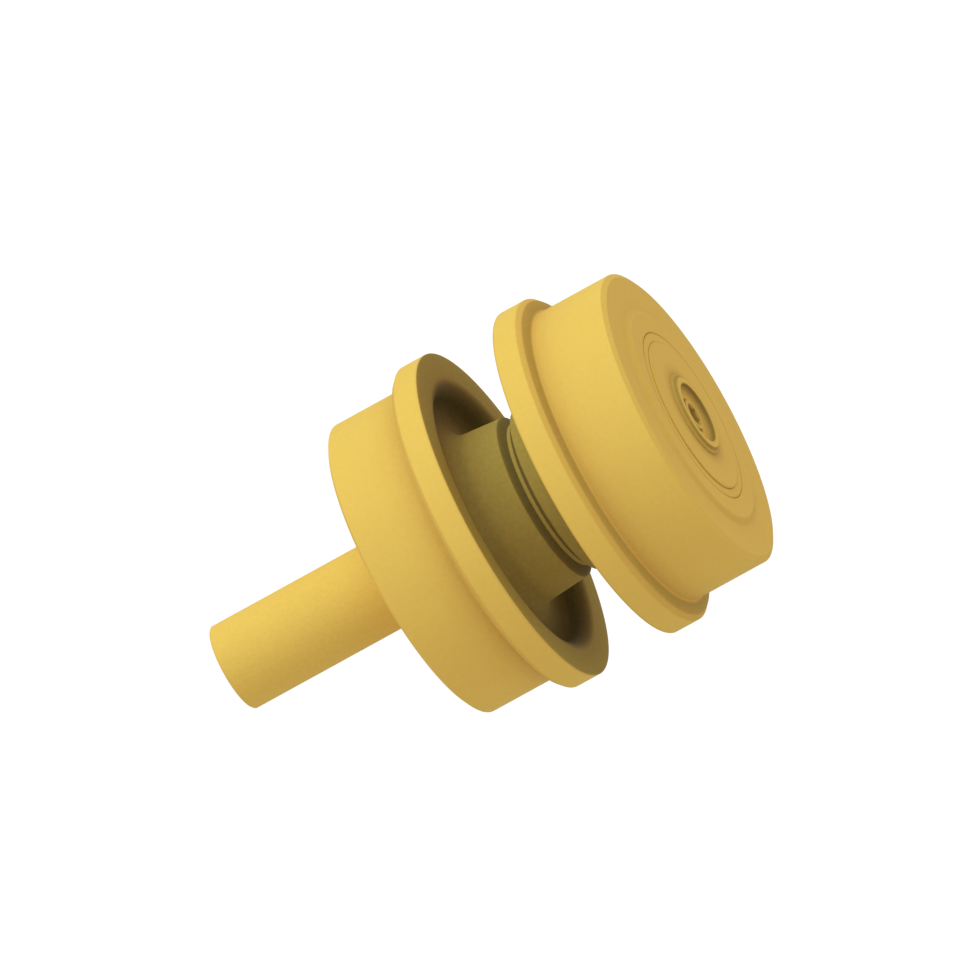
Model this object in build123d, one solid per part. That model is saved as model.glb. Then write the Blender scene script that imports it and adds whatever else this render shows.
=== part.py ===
from build123d import *
import math
import os

# Cantilever carrier roller for a tracked machine.
#
# Row frame, in millimetres: the roller turns about the Y axis and +Z is up.  The origin is the centre
# of the seal collar's outer face, the face that stands against the clamping bracket.  The shaft's free
# end lies along -Y and the end cover along +Y.  Profiles are drawn as (axial, radius) pairs, where
# axial is the distance from the shell's middle plane, positive towards the cover.

# ---------------------------------------------------------------- shell, outside
tread_radius = 111.125
flange_height = 12.7
shell_half_width = 111.5
flange_gap = 61.0
flange_width = 21.5
flange_chamfer = 3.2
flange_foot_spread = 2.6
tread_root_fillet = 1.2
tread_end_chamfer_radial = 4.1
tread_end_chamfer_axial = 2.4
tread_edge_round = 1.0
rim_land = 14.7
rim_slope = 4.9
rim_edge_round = 2.0
rim_rise = 2.3
waist_wall = 15.2
waist_draft_deg = 5.0
waist_flare_radius = 15.0
waist_groove_depth = 6.8
waist_groove_chamfer = 3.9
weld_half_width = 1.5
pocket_depth = 17.0
pocket_wall = 14.3
pocket_wall_draft_deg = 18.0
pocket_floor_round = 10.0
pocket_mouth_round = 12.0
round_land = 0.2

# ---------------------------------------------------------------- shell, inside
cup_shoulder_height = 5.86
cup_shoulder_width = 8.0
cavity_relief = 4.5
cup_bore_run_out = 2.0
bore_relief = 0.8
cover_bore_step = 7.44
cover_seat_depth = 11.0
edge_break = 0.8

# ---------------------------------------------------------------- tapered bearings
bearing_width = 30.16
cup_width = 23.81
cone_width = 30.05
cup_angle_deg = 17.0
roller_taper_deg = 2.0
roller_pitch_above_bore = 12.353
roller_length = 20.0
roller_shift = 0.6
roller_spacing = 1.9
roller_play = 0.25
cup_front_wall = 2.58
cone_big_rib = 3.6
cone_small_rib = 1.6
rib_gap = 0.3
cage_sheet = 1.4
cage_offset = 2.2
cage_overhang = 3.6
cage_lip = 4.1
cage_window_play = 0.25

# ---------------------------------------------------------------- shaft
shaft_radius = 31.75
shaft_clamp_length = 136.0
shaft_end_chamfer = 1.2
collar_seat_step = 0.5
centre_hole_radius = 4.0
centre_hole_depth = 9.0
shoulder_height = 6.25
shoulder_width = 5.84
shaft_waist_relief = 1.25
shaft_seat_overrun = 4.0
cover_seat_step = 3.175
shaft_chamfer = 1.0

# ---------------------------------------------------------------- end plate on the shaft
shim_thickness = 0.76
shim_inset = 1.575
end_plate_overhang = 7.425
end_plate_thickness = 8.0
lock_plate_thickness = 1.5
lock_plate_margin = 3.0
lock_tab_height = 4.5
lock_tab_width = 9.0
lock_tab_gap = 0.2
bolt_circle_radius = 15.5
bolt_count = 3
first_bolt_deg = 90
bolt_radius = 5.0
bolt_hole_gap = 0.5
bolt_thread_in_shaft = 22.0
bolt_head_across_flats = 17.0
bolt_head_height = 6.4
bolt_head_turn_deg = 30
bolt_to_cover_gap = 1.94
tapped_hole_run_out = 4.0

# ---------------------------------------------------------------- floating face seal and its collar
seal_face_depth = 10.9
seal_ring_bore_gap = 5.0
seal_ring_wall = 6.9
seal_ring_flange_height = 5.1
seal_ring_flange_width = 3.6
seal_ring_tail = 2.6
seal_ramp_deg = 12.0
toric_section_radius = 4.6
toric_squeeze = 0.5
toric_flange_gap = 0.2
toric_bottom_gap = 0.4
collar_hub_wall = 6.25
collar_lip_wall = 4.8
collar_lip_setback = 1.5
collar_flange_width = 4.5
collar_shell_gap = 1.5
collar_edge_round = 1.5
dowel_radius = 3.0
dowel_length = 12.0
dowel_from_collar_end = 5.0

# ---------------------------------------------------------------- end cover, its ring and its plug
cover_bore_gap = 0.1
cover_rim_width = 9.0
cover_rim_ledge = 7.4
cover_disc_rise = 1.1
cover_disc_round = 0.7
cover_under_recess = 3.0
cover_under_wall = 6.2
boss_radius = 31.2
boss_height = 3.4
boss_step_height = 1.6
boss_step_land = 2.4
boss_draft_deg = 25.0
boss_wall = 5.0
boss_edge_round = 0.5
plug_recess_depth = 4.8
plug_recess_ledge = 10.0
plug_recess_round = 4.0
plug_seat_depth = 4.8
retaining_ring_setback = 0.1
retaining_ring_outer_gap = 0.05
retaining_ring_inner_gap = 0.3
retaining_ring_edge = 0.3
cover_ring_section_radius = 2.65
cover_ring_squeeze = 0.35
cover_ring_groove_side_gap = 0.4
plug_head_gap = 0.4
plug_head_height = 5.1
plug_head_ledge = 1.8
plug_head_chamfer = 0.5
plug_thread_length = 7.6
plug_boss_wall = 13.5
plug_washer_thickness = 1.5
plug_washer_inset = 0.3
plug_socket_sink = 1.2
plug_socket_across_flats = 14.0
plug_socket_depth = 6.0

# ---------------------------------------------------------------- axial places, from the shell's middle
rim_plane = shell_half_width + rim_rise
cover_seat_axial = shell_half_width - cover_seat_depth
lock_plate_face = cover_seat_axial - bolt_to_cover_gap - bolt_head_height
end_plate_face = lock_plate_face - lock_plate_thickness
cone_back = end_plate_face - end_plate_thickness
cone_front = cone_back - cone_width
cup_shoulder_axial = cone_back - bearing_width
cup_front = cup_shoulder_axial + cup_width
cup_bore_end = cup_front + cup_bore_run_out
roller_axial = cup_shoulder_axial + cup_width / 2 + roller_shift
shaft_cover_end = cone_back - shim_thickness
collar_inner_end = cone_back + shoulder_width
seal_face_axial = shell_half_width - seal_face_depth
toric_depth = seal_ring_flange_width + toric_flange_gap + toric_section_radius
housing_depth = toric_depth + toric_section_radius + toric_bottom_gap
seal_ring_width = toric_depth + seal_ring_tail
collar_outer_face = seal_face_axial + housing_depth + collar_flange_width
shaft_free_end = -collar_outer_face - shaft_clamp_length
cover_rim_face = cover_seat_axial + cover_rim_width
cover_disc_face = rim_plane + cover_disc_rise
boss_face = cover_disc_face + boss_height
boss_step_face = cover_disc_face + boss_step_height
plug_recess_floor = boss_face - plug_recess_depth
plug_seat = plug_recess_floor - plug_seat_depth
middle_y = collar_outer_face

# ---------------------------------------------------------------- radii, from the shaft outwards
cup_angle = math.radians(cup_angle_deg)
roller_taper = math.radians(roller_taper_deg)
roller_angle = cup_angle - roller_taper
roller_pitch_radius = shaft_radius + roller_pitch_above_bore
roller_distance = roller_pitch_radius / math.sin(roller_angle)
roller_radius = roller_distance * math.tan(roller_taper)
rollers_per_bearing = int(math.tau * roller_pitch_radius / (2 * roller_radius + roller_spacing))
apex_axial = roller_axial - roller_pitch_radius / math.tan(roller_angle)
cup_small_race_radius = (cup_shoulder_axial - apex_axial) * math.tan(cup_angle)
cup_big_race_radius = (cup_front - apex_axial) * math.tan(cup_angle)
cup_radius = cup_big_race_radius + cup_front_wall
cup_shoulder_radius = cup_radius - cup_shoulder_height
cavity_radius = cup_shoulder_radius - cavity_relief
cover_bore_radius = cup_radius + cover_bore_step
rim_top_radius = cover_bore_radius + rim_land
rim_outer_radius = rim_top_radius + rim_slope
flange_radius = tread_radius + flange_height
pocket_mouth_radius = tread_radius - pocket_wall
waist_radius = cavity_radius + waist_wall
waist_draft = math.radians(waist_draft_deg)
pocket_wall_draft = math.radians(pocket_wall_draft_deg)
waist_groove_radius = waist_radius - waist_groove_depth
waist_groove_half_width = weld_half_width + waist_groove_chamfer
collar_seat_radius = shaft_radius + collar_seat_step
shoulder_radius = shaft_radius + shoulder_height
shaft_waist_radius = shaft_radius - shaft_waist_relief
cover_seat_radius = shaft_radius - cover_seat_step
shim_radius = cover_seat_radius - shim_inset
end_plate_radius = cover_seat_radius + end_plate_overhang
bolt_hole_radius = bolt_radius + bolt_hole_gap
lock_plate_lobe_radius = bolt_head_across_flats / 2 + lock_plate_margin
collar_hub_radius = collar_seat_radius + collar_hub_wall
seal_ring_inner_radius = collar_hub_radius + seal_ring_bore_gap
seal_seat_radius = seal_ring_inner_radius + seal_ring_wall
seal_ring_flange_radius = seal_seat_radius + seal_ring_flange_height
seal_ramp = math.radians(seal_ramp_deg)
toric_half_height = toric_section_radius - toric_squeeze
toric_seat_radius = seal_seat_radius - (toric_depth - seal_ring_flange_width) * math.tan(seal_ramp)
toric_radius = toric_seat_radius + toric_half_height / math.cos(seal_ramp)
housing_radius = toric_radius + toric_half_height / math.cos(seal_ramp)
cover_disc_radius = cover_bore_radius - cover_rim_ledge
cover_under_radius = cover_disc_radius - cover_under_wall
boss_draft = math.radians(boss_draft_deg)
boss_step_outer_radius = boss_radius - boss_step_height * math.tan(boss_draft)
boss_step_inner_radius = boss_step_outer_radius - boss_step_land
boss_top_radius = boss_step_inner_radius - (boss_height - boss_step_height) * math.tan(boss_draft)
plug_recess_radius = boss_top_radius - boss_wall
plug_seat_radius = plug_recess_radius - plug_recess_ledge
plug_head_radius = plug_seat_radius - plug_head_gap
plug_thread_radius = plug_head_radius - plug_head_ledge
plug_boss_radius = plug_thread_radius + plug_boss_wall


def place(solid, side=1):
    """Moves a solid from the drawing axis (Z, from the middle plane) to the roller's axis (Y).

    side is 1 for the cover end and -1 for the shaft end, whose solids are drawn mirrored.
    """
    if side < 0:
        solid = mirror(solid, about=Plane.XY)
    return Pos(0, middle_y, 0) * Rot(-90, 0, 0) * solid


def turned(points, radii=None, side=1):
    """A solid of revolution from (axial, radius) corners, with a round at each corner that has one."""
    corners = [(radius, 0, axial) for axial, radius in points]
    rounds = radii or {}
    outline = FilletPolyline(*corners, radius=[rounds.get(i, 0) for i in range(len(corners))], close=True)
    return place(revolve(make_face(outline), Axis.Z, 360), side)


def squeezed_ring(axial, radius, section_radius, squeeze, slope, side):
    """A rubber ring of round section, pressed flat between two parallel conical walls."""
    half_height = section_radius - squeeze
    half_flat = math.sqrt(section_radius**2 - half_height**2)
    along = (math.sin(slope), math.cos(slope))
    across = (math.cos(slope), -math.sin(slope))

    def point(s, t):
        return (radius + along[0] * s + across[0] * t, 0, axial + along[1] * s + across[1] * t)

    outline = [
        Line(point(-half_flat, half_height), point(half_flat, half_height)),
        ThreePointArc(
            point(half_flat, half_height), point(section_radius, 0), point(half_flat, -half_height)
        ),
        Line(point(half_flat, -half_height), point(-half_flat, -half_height)),
        ThreePointArc(
            point(-half_flat, -half_height), point(-section_radius, 0), point(-half_flat, half_height)
        ),
    ]
    return place(revolve(make_face(outline), Axis.Z, 360), side)


def cone_radius(axial, angle):
    """Radius at an axial place of a cone whose apex is the bearing's."""
    return (axial - apex_axial) * math.tan(angle)


# ---------------------------------------------------------------- shell
def waist_line(axial):
    """Radius of the drafted waist at an axial place."""
    return waist_radius + (axial - waist_groove_half_width) * math.tan(waist_draft)


def round_fit(wall, *corners):
    """Share of the wanted rounds that a wall has room for; each corner is its radius and its draft."""
    reach = sum(radius * math.tan((math.pi / 2 - draft) / 2) for radius, draft in corners)
    return min(1, (wall - round_land) / reach)


def shell_outside():
    """Corners and rounds of half the shell's outside, from the weld to the rim of the end bore."""
    flange_inner = flange_gap / 2
    flange_outer = flange_inner + flange_width
    pocket_floor = flange_inner + pocket_depth
    wall_foot = pocket_mouth_radius - pocket_depth * math.tan(pocket_wall_draft)
    flare = (waist_flare_radius, waist_draft)
    floor_round = (pocket_floor_round, pocket_wall_draft)
    mouth_round = (pocket_mouth_round, pocket_wall_draft)
    fit = min(
        round_fit(wall_foot - waist_line(pocket_floor), flare, floor_round),
        round_fit(pocket_depth / math.cos(pocket_wall_draft), floor_round, mouth_round),
    )
    points = [
        (weld_half_width, waist_groove_radius),
        (waist_groove_half_width, waist_radius),
        (pocket_floor, waist_line(pocket_floor)),
        (pocket_floor, wall_foot),
        (flange_inner, pocket_mouth_radius),
        (flange_inner, flange_radius),
        (flange_outer - flange_chamfer, flange_radius),
        (flange_outer, flange_radius - flange_chamfer),
        (flange_outer + flange_foot_spread, tread_radius),
        (shell_half_width - tread_end_chamfer_axial, tread_radius),
        (shell_half_width, tread_radius - tread_end_chamfer_radial),
        (shell_half_width, rim_outer_radius),
        (rim_plane, rim_top_radius),
    ]
    rounds = {
        2: waist_flare_radius * fit,
        3: pocket_floor_round * fit,
        4: pocket_mouth_round * fit,
        8: tread_root_fillet,
        9: tread_edge_round,
        10: tread_edge_round,
        11: rim_edge_round,
        12: rim_edge_round,
    }
    return points, rounds


def shell_half(end_bore, side):
    """One half of the shell: the common outside and bearing bore, closed by its own end bore."""
    points, rounds = shell_outside()
    bearing_bore = [
        (cup_bore_end, cup_radius),
        (cup_shoulder_axial, cup_radius),
        (cup_shoulder_axial, cup_shoulder_radius),
        (cup_shoulder_axial - cup_shoulder_width, cup_shoulder_radius),
        (cup_shoulder_axial - 2 * cup_shoulder_width, cavity_radius),
        (weld_half_width, cavity_radius),
    ]
    return turned(points + end_bore + bearing_bore, rounds, side)


def cover_end_bore():
    """The cover's bore, with a broken edge at its mouth and the cover's seat at its bottom."""
    relief_radius = cup_radius + bore_relief
    return [
        (rim_plane, cover_bore_radius + retaining_ring_edge),
        (rim_plane - retaining_ring_edge, cover_bore_radius),
        (cover_seat_axial, cover_bore_radius),
        (cover_seat_axial, relief_radius),
        (cup_bore_end + bore_relief, relief_radius),
    ]


def housing_ramp(depth):
    """Radius of a seal housing's ramp at a depth behind the sealing plane."""
    return housing_radius + (toric_depth - depth) * math.tan(seal_ramp)


collar_lip_radius = housing_ramp(collar_lip_setback) + collar_lip_wall


def seal_end_bore():
    """The counterbore round the collar's lip, and the ramp that holds the turning toric ring."""
    counterbore_radius = collar_lip_radius + collar_shell_gap
    mouth = seal_face_axial - collar_lip_setback
    return [
        (rim_plane, counterbore_radius),
        (mouth, counterbore_radius),
        (mouth, housing_ramp(collar_lip_setback)),
        (seal_face_axial - housing_depth, housing_ramp(housing_depth)),
        (cup_bore_end, housing_ramp(housing_depth)),
    ]


def centre_weld():
    """The weld that joins the two shell halves at the bottom of the waist groove."""
    return turned([
        (-weld_half_width, cavity_radius),
        (weld_half_width, cavity_radius),
        (weld_half_width, waist_groove_radius),
        (-weld_half_width, waist_groove_radius),
    ])


# ---------------------------------------------------------------- bearings
def bearing_cup(side):
    """Outer ring, with its conical race open towards the end of the shell."""
    return turned([
        (cup_shoulder_axial, cup_small_race_radius),
        (cup_front, cup_big_race_radius),
        (cup_front, cup_radius - edge_break),
        (cup_front - edge_break, cup_radius),
        (cup_shoulder_axial + edge_break, cup_radius),
        (cup_shoulder_axial, cup_radius - edge_break),
    ], side=side)


def roller_end(distance, gap):
    """Where a plane across the roller's axis, past one of its ends, meets the inner race."""
    along = distance + math.copysign(gap, distance)
    centre_axial = roller_axial + along * math.cos(roller_angle)
    centre_radius = roller_pitch_radius + along * math.sin(roller_angle)
    rise = math.tan(roller_taper) * (centre_axial - apex_axial) / math.cos(roller_angle)
    return centre_axial + rise * math.sin(roller_angle), centre_radius - rise * math.cos(roller_angle)


def bearing_cone(bore_radius, side):
    """Inner ring, with a conical race between a small rib and a large one square to the rollers."""
    small_axial, small_radius = roller_end(-roller_length / 2, rib_gap)
    big_axial, big_radius = roller_end(roller_length / 2, rib_gap)
    lean = math.tan(roller_angle)
    return turned([
        (cone_front, bore_radius + edge_break),
        (cone_front, small_radius + cone_small_rib),
        (small_axial - cone_small_rib * lean, small_radius + cone_small_rib),
        (small_axial, small_radius),
        (big_axial, big_radius),
        (big_axial - cone_big_rib * lean, big_radius + cone_big_rib),
        (cone_back - edge_break, big_radius + cone_big_rib),
        (cone_back, big_radius + cone_big_rib - edge_break),
        (cone_back, bore_radius + edge_break),
        (cone_back - edge_break, bore_radius),
        (cone_front + edge_break, bore_radius),
    ], side=side)


def on_the_pitch_cone(solid):
    """Moves a solid drawn about a roller's own axis, with its apex below, to the first roller's place."""
    return Pos(roller_pitch_radius, 0, roller_axial) * Rot(0, math.degrees(roller_angle), 0) * solid


def tapered_roller():
    """One roller, smaller than its place between the races by the play."""
    small = (roller_distance - roller_length / 2) * math.tan(roller_taper) - roller_play
    big = (roller_distance + roller_length / 2) * math.tan(roller_taper) - roller_play
    return on_the_pitch_cone(Solid.make_cone(small, big, roller_length, Plane((0, 0, -roller_length / 2))))


def cage_window():
    """Cutter of a stamped window: as wide as the roller where it passes through the sheet, and a play."""
    outline = []
    for end in (-1, 1):
        along = end * (roller_length / 2 + cage_window_play)
        radius = (roller_distance + along) * math.tan(roller_taper)
        sheet_bend = radius**2 / (2 * roller_pitch_radius)
        depth = (cage_offset - cage_sheet / 2) * math.cos(roller_angle) - sheet_bend
        half_width = math.sqrt(radius**2 - depth**2) + cage_window_play
        outline += [(0, -end * half_width, along), (0, end * half_width, along)]
    face = make_face(Polyline(*outline, close=True))
    return on_the_pitch_cone(extrude(face, 2 * cage_offset + cage_sheet, (1, 0, 0)))


def round_the_axis(solid):
    """The solid at every roller's place in a bearing."""
    return [Rot(0, 0, 360 * i / rollers_per_bearing) * solid for i in range(rollers_per_bearing)]


def roller_set(side):
    """All the rollers of one bearing, as separate solids."""
    return Compound(children=[place(roller, side) for roller in round_the_axis(tapered_roller())])


def bearing_cage(side):
    """Conical sheet cage with a window for each roller and a lip at its small end."""
    reach = roller_length / 2 + cage_overhang
    front = roller_axial - reach * math.cos(roller_angle)
    back = roller_axial + reach * math.cos(roller_angle)
    inner = cage_offset - cage_sheet / 2
    outer = cage_offset + cage_sheet / 2
    lip_radius = cone_radius(front, roller_angle) + outer - cage_lip
    corners = [
        (front, lip_radius),
        (front + cage_sheet, lip_radius),
        (front + cage_sheet, cone_radius(front + cage_sheet, roller_angle) + inner),
        (back, cone_radius(back, roller_angle) + inner),
        (back, cone_radius(back, roller_angle) + outer),
        (front, cone_radius(front, roller_angle) + outer),
    ]
    outline = Polyline(*[(radius, 0, axial) for axial, radius in corners], close=True)
    sheet = revolve(make_face(outline), Axis.Z, 360)
    return place(sheet - round_the_axis(cage_window()), side)


# ---------------------------------------------------------------- shaft and what is fixed to it
def bolt_places(axial):
    """Places of the end plate's bolts, at an axial place on the drawing axis."""
    return [Pos(0, 0, axial) * loc for loc in PolarLocations(bolt_circle_radius, bolt_count, first_bolt_deg)]


def shaft():
    """The shaft: clamp length, collar seat, thrust shoulder, two bearing seats and tapped cover end."""
    collar_end = -collar_inner_end
    seat_end = -cone_front + shaft_seat_overrun
    small_seat = cone_front - shaft_seat_overrun
    body = turned([
        (shaft_free_end, 0),
        (shaft_free_end, shaft_radius - shaft_end_chamfer),
        (shaft_free_end + shaft_end_chamfer, shaft_radius),
        (-collar_outer_face, shaft_radius),
        (-collar_outer_face, collar_seat_radius),
        (collar_end, collar_seat_radius),
        (collar_end, shoulder_radius - shaft_chamfer),
        (collar_end + shaft_chamfer, shoulder_radius),
        (-cone_back - shaft_chamfer, shoulder_radius),
        (-cone_back, shoulder_radius - shaft_chamfer),
        (-cone_back, shaft_radius),
        (seat_end, shaft_radius),
        (seat_end + shaft_radius - shaft_waist_radius, shaft_waist_radius),
        (small_seat - shaft_waist_radius + cover_seat_radius, shaft_waist_radius),
        (small_seat, cover_seat_radius),
        (shaft_cover_end - shaft_chamfer, cover_seat_radius),
        (shaft_cover_end, cover_seat_radius - shaft_chamfer),
        (shaft_cover_end, 0),
    ])
    centre = Solid.make_cone(
        centre_hole_radius, 0, centre_hole_depth, Plane((0, 0, shaft_free_end))
    )
    body -= place(centre)
    depth = bolt_thread_in_shaft + tapped_hole_run_out
    for spot in bolt_places(shaft_cover_end - depth):
        body -= place(spot * Solid.make_cylinder(bolt_radius, depth))
    return body - dowel()


def dowel():
    """Radial pin through the collar's hub into the shaft, underneath."""
    pin_axial = -collar_inner_end - dowel_from_collar_end
    pin = Solid.make_cylinder(
        dowel_radius, dowel_length, Plane((0, collar_hub_radius, pin_axial), z_dir=(0, -1, 0))
    )
    return place(pin)


def seal_collar():
    """E-shaped collar: hub on the shaft, flange, and the lip that holds the fixed toric ring."""
    bottom = seal_face_axial + housing_depth
    lip_end = seal_face_axial + collar_lip_setback
    collar = turned([
        (collar_outer_face, collar_seat_radius),
        (collar_outer_face, collar_lip_radius),
        (lip_end, collar_lip_radius),
        (lip_end, housing_ramp(collar_lip_setback)),
        (bottom, housing_ramp(housing_depth)),
        (bottom, collar_hub_radius),
        (collar_inner_end, collar_hub_radius),
        (collar_inner_end, collar_seat_radius),
    ], {1: collar_edge_round}, side=-1)
    return collar - dowel()


def seal_ring(way):
    """Metal ring of the face seal: lapped flange in front, ramp for the toric ring behind.

    way is 1 for the ring behind the sealing plane as seen from the shell's middle, and -1 for its mate.
    """
    def at(depth):
        return seal_face_axial + way * depth

    seat_drop = (seal_ring_width - seal_ring_flange_width) * math.tan(seal_ramp)
    return turned([
        (at(0), seal_ring_inner_radius + edge_break),
        (at(0), seal_ring_flange_radius - edge_break),
        (at(edge_break), seal_ring_flange_radius),
        (at(seal_ring_flange_width), seal_ring_flange_radius),
        (at(seal_ring_flange_width), seal_seat_radius),
        (at(seal_ring_width), seal_seat_radius - seat_drop),
        (at(seal_ring_width), seal_ring_inner_radius),
        (at(edge_break), seal_ring_inner_radius),
    ], side=-1)


def toric_ring(way):
    """Rubber ring between a seal ring and its housing."""
    axial = seal_face_axial + way * toric_depth
    return squeezed_ring(axial, toric_radius, toric_section_radius, toric_squeeze, -way * seal_ramp, -1)


def preload_shims():
    """Shim pack between the shaft's end and the end plate."""
    shims = Solid.make_cylinder(shim_radius, shim_thickness, Plane((0, 0, shaft_cover_end)))
    for spot in bolt_places(shaft_cover_end):
        shims -= spot * Solid.make_cylinder(bolt_hole_radius, shim_thickness)
    return place(shims)


def end_plate():
    """Plate that presses the cover side cone home."""
    plate = Solid.make_cylinder(end_plate_radius, end_plate_thickness, Plane((0, 0, cone_back)))
    plate = chamfer(plate.edges().filter_by(GeomType.CIRCLE), edge_break)
    for spot in bolt_places(cone_back):
        plate -= spot * Solid.make_cylinder(bolt_hole_radius, end_plate_thickness)
    return place(plate)


def lock_plate():
    """Three-lobed sheet plate under the bolt heads, with a tab bent up against each head."""
    sheet = Plane.XY.offset(end_plate_face)
    lobes = [spot * Circle(lock_plate_lobe_radius) for spot in bolt_places(0)]
    outline = make_hull(Sketch(children=lobes).edges())
    plate = extrude(sheet * outline, lock_plate_thickness)
    for spot in bolt_places(end_plate_face):
        plate -= spot * Solid.make_cylinder(bolt_hole_radius, lock_plate_thickness)
    tab_inner = bolt_head_across_flats / 2 + lock_tab_gap
    tab_box = Box(
        lock_plate_thickness,
        lock_tab_width,
        lock_tab_height,
        align=(Align.MIN, Align.CENTER, Align.MIN),
    )
    for spot in bolt_places(lock_plate_face):
        plate += spot * Pos(tab_inner, 0, 0) * tab_box
    return place(plate)


def end_plate_bolts():
    """Hexagon head bolts of the end plate, as separate solids."""
    reach = bolt_thread_in_shaft + shim_thickness + end_plate_thickness + lock_plate_thickness
    bolts = []
    for spot in bolt_places(lock_plate_face):
        head_face = RegularPolygon(
            bolt_head_across_flats / 2, 6, major_radius=False, rotation=bolt_head_turn_deg
        )
        head = extrude(head_face, bolt_head_height)
        shank = Solid.make_cylinder(bolt_radius, reach, Plane((0, 0, -reach)))
        bolts.append(place(spot * (head + shank)))
    return Compound(children=bolts)


# ---------------------------------------------------------------- cover end
def end_cover():
    """Cover: rim in the shell's bore, raised disc, and stepped boss with a bowl round the plug's seat."""
    rim_radius = cover_bore_radius - cover_bore_gap
    groove_half = cover_ring_section_radius + cover_ring_groove_side_gap
    groove_centre = cover_seat_axial + cover_rim_width / 2
    groove_bottom = cover_bore_radius - 2 * (cover_ring_section_radius - cover_ring_squeeze)
    under = cover_seat_axial + cover_under_recess
    bowl_fit = round_fit(plug_recess_depth, (boss_edge_round, 0), (plug_recess_round, 0))
    return turned([
        (cover_seat_axial, rim_radius),
        (groove_centre - groove_half, rim_radius),
        (groove_centre - groove_half, groove_bottom),
        (groove_centre + groove_half, groove_bottom),
        (groove_centre + groove_half, rim_radius),
        (cover_rim_face, rim_radius),
        (cover_rim_face, cover_disc_radius),
        (cover_disc_face, cover_disc_radius),
        (cover_disc_face, boss_radius),
        (boss_step_face, boss_step_outer_radius),
        (boss_step_face, boss_step_inner_radius),
        (boss_face, boss_top_radius),
        (boss_face, plug_recess_radius),
        (plug_recess_floor, plug_recess_radius),
        (plug_recess_floor, plug_seat_radius),
        (plug_seat, plug_seat_radius),
        (plug_seat, plug_thread_radius),
        (cover_seat_axial, plug_thread_radius),
        (cover_seat_axial, plug_boss_radius),
        (under, plug_boss_radius),
        (under, cover_under_radius),
        (cover_seat_axial, cover_under_radius),
    ], {
        7: cover_disc_round,
        9: boss_edge_round,
        11: boss_edge_round,
        12: boss_edge_round * bowl_fit,
        13: plug_recess_round * bowl_fit,
    })


def retaining_ring():
    """Ring pressed into the bore above the cover's rim, almost flush with the shell's end."""
    inner = cover_disc_radius + retaining_ring_inner_gap
    outer = cover_bore_radius - retaining_ring_outer_gap
    ring_face = rim_plane - retaining_ring_setback
    return turned([
        (cover_rim_face, inner),
        (cover_rim_face, outer),
        (ring_face - retaining_ring_edge, outer),
        (ring_face, outer - retaining_ring_edge),
        (ring_face, inner),
    ])


def cover_o_ring():
    """Rubber ring between the cover's rim and its bore."""
    radius = cover_bore_radius - cover_ring_section_radius + cover_ring_squeeze
    return squeezed_ring(
        cover_seat_axial + cover_rim_width / 2, radius, cover_ring_section_radius, cover_ring_squeeze, 0, 1
    )


def fill_plug():
    """Oil plug: flanged head, thread, and a hexagon socket with a countersunk mouth."""
    head_seat = plug_seat + plug_washer_thickness
    thread_end = plug_seat - plug_thread_length
    top = head_seat + plug_head_height
    plug = turned([
        (thread_end, 0),
        (thread_end, plug_thread_radius - edge_break),
        (thread_end + edge_break, plug_thread_radius),
        (head_seat, plug_thread_radius),
        (head_seat, plug_head_radius),
        (top - plug_head_chamfer, plug_head_radius),
        (top, plug_head_radius - plug_head_chamfer),
        (top, 0),
    ])
    hexagon = RegularPolygon(plug_socket_across_flats / 2, 6, major_radius=False)
    socket = extrude(Pos(0, 0, top - plug_socket_depth) * hexagon, plug_socket_depth)
    socket_radius = plug_socket_across_flats / 2
    mouth_radius = socket_radius + plug_socket_sink
    sink_plane = Plane((0, 0, top - plug_socket_sink))
    countersink = Solid.make_cone(socket_radius, mouth_radius, plug_socket_sink, sink_plane)
    return plug - place(socket) - place(countersink)


def plug_washer():
    """Flat sealing washer under the plug's head."""
    outer = plug_head_radius - plug_washer_inset
    return turned([
        (plug_seat, plug_thread_radius),
        (plug_seat, outer),
        (plug_seat + plug_washer_thickness, outer),
        (plug_seat + plug_washer_thickness, plug_thread_radius),
    ])


nodes = {
    "shaft": shaft(),
    "seal_collar": seal_collar(),
    "collar_dowel": dowel(),
    "fixed_seal_ring": seal_ring(1),
    "fixed_toric_ring": toric_ring(1),
    "shaft_side_cone": bearing_cone(shaft_radius, -1),
    "cover_side_cone": bearing_cone(cover_seat_radius, 1),
    "preload_shims": preload_shims(),
    "end_plate": end_plate(),
    "lock_plate": lock_plate(),
    "end_plate_bolts": end_plate_bolts(),
    "shell_shaft_side": shell_half(seal_end_bore(), -1),
    "shell_cover_side": shell_half(cover_end_bore(), 1),
    "centre_weld": centre_weld(),
    "shaft_side_cup": bearing_cup(-1),
    "cover_side_cup": bearing_cup(1),
    "turning_seal_ring": seal_ring(-1),
    "turning_toric_ring": toric_ring(-1),
    "end_cover": end_cover(),
    "cover_o_ring": cover_o_ring(),
    "retaining_ring": retaining_ring(),
    "fill_plug": fill_plug(),
    "plug_washer": plug_washer(),
    "shaft_side_cage": bearing_cage(-1),
    "shaft_side_rollers": roller_set(-1),
    "cover_side_cage": bearing_cage(1),
    "cover_side_rollers": roller_set(1),
}

os.makedirs("parts", exist_ok=True)
for name, solid in nodes.items():
    export_step(solid, f"parts/{name}.step")
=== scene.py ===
import math

import bmesh
import bpy
import numpy as np
from mathutils import Matrix, Vector


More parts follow.
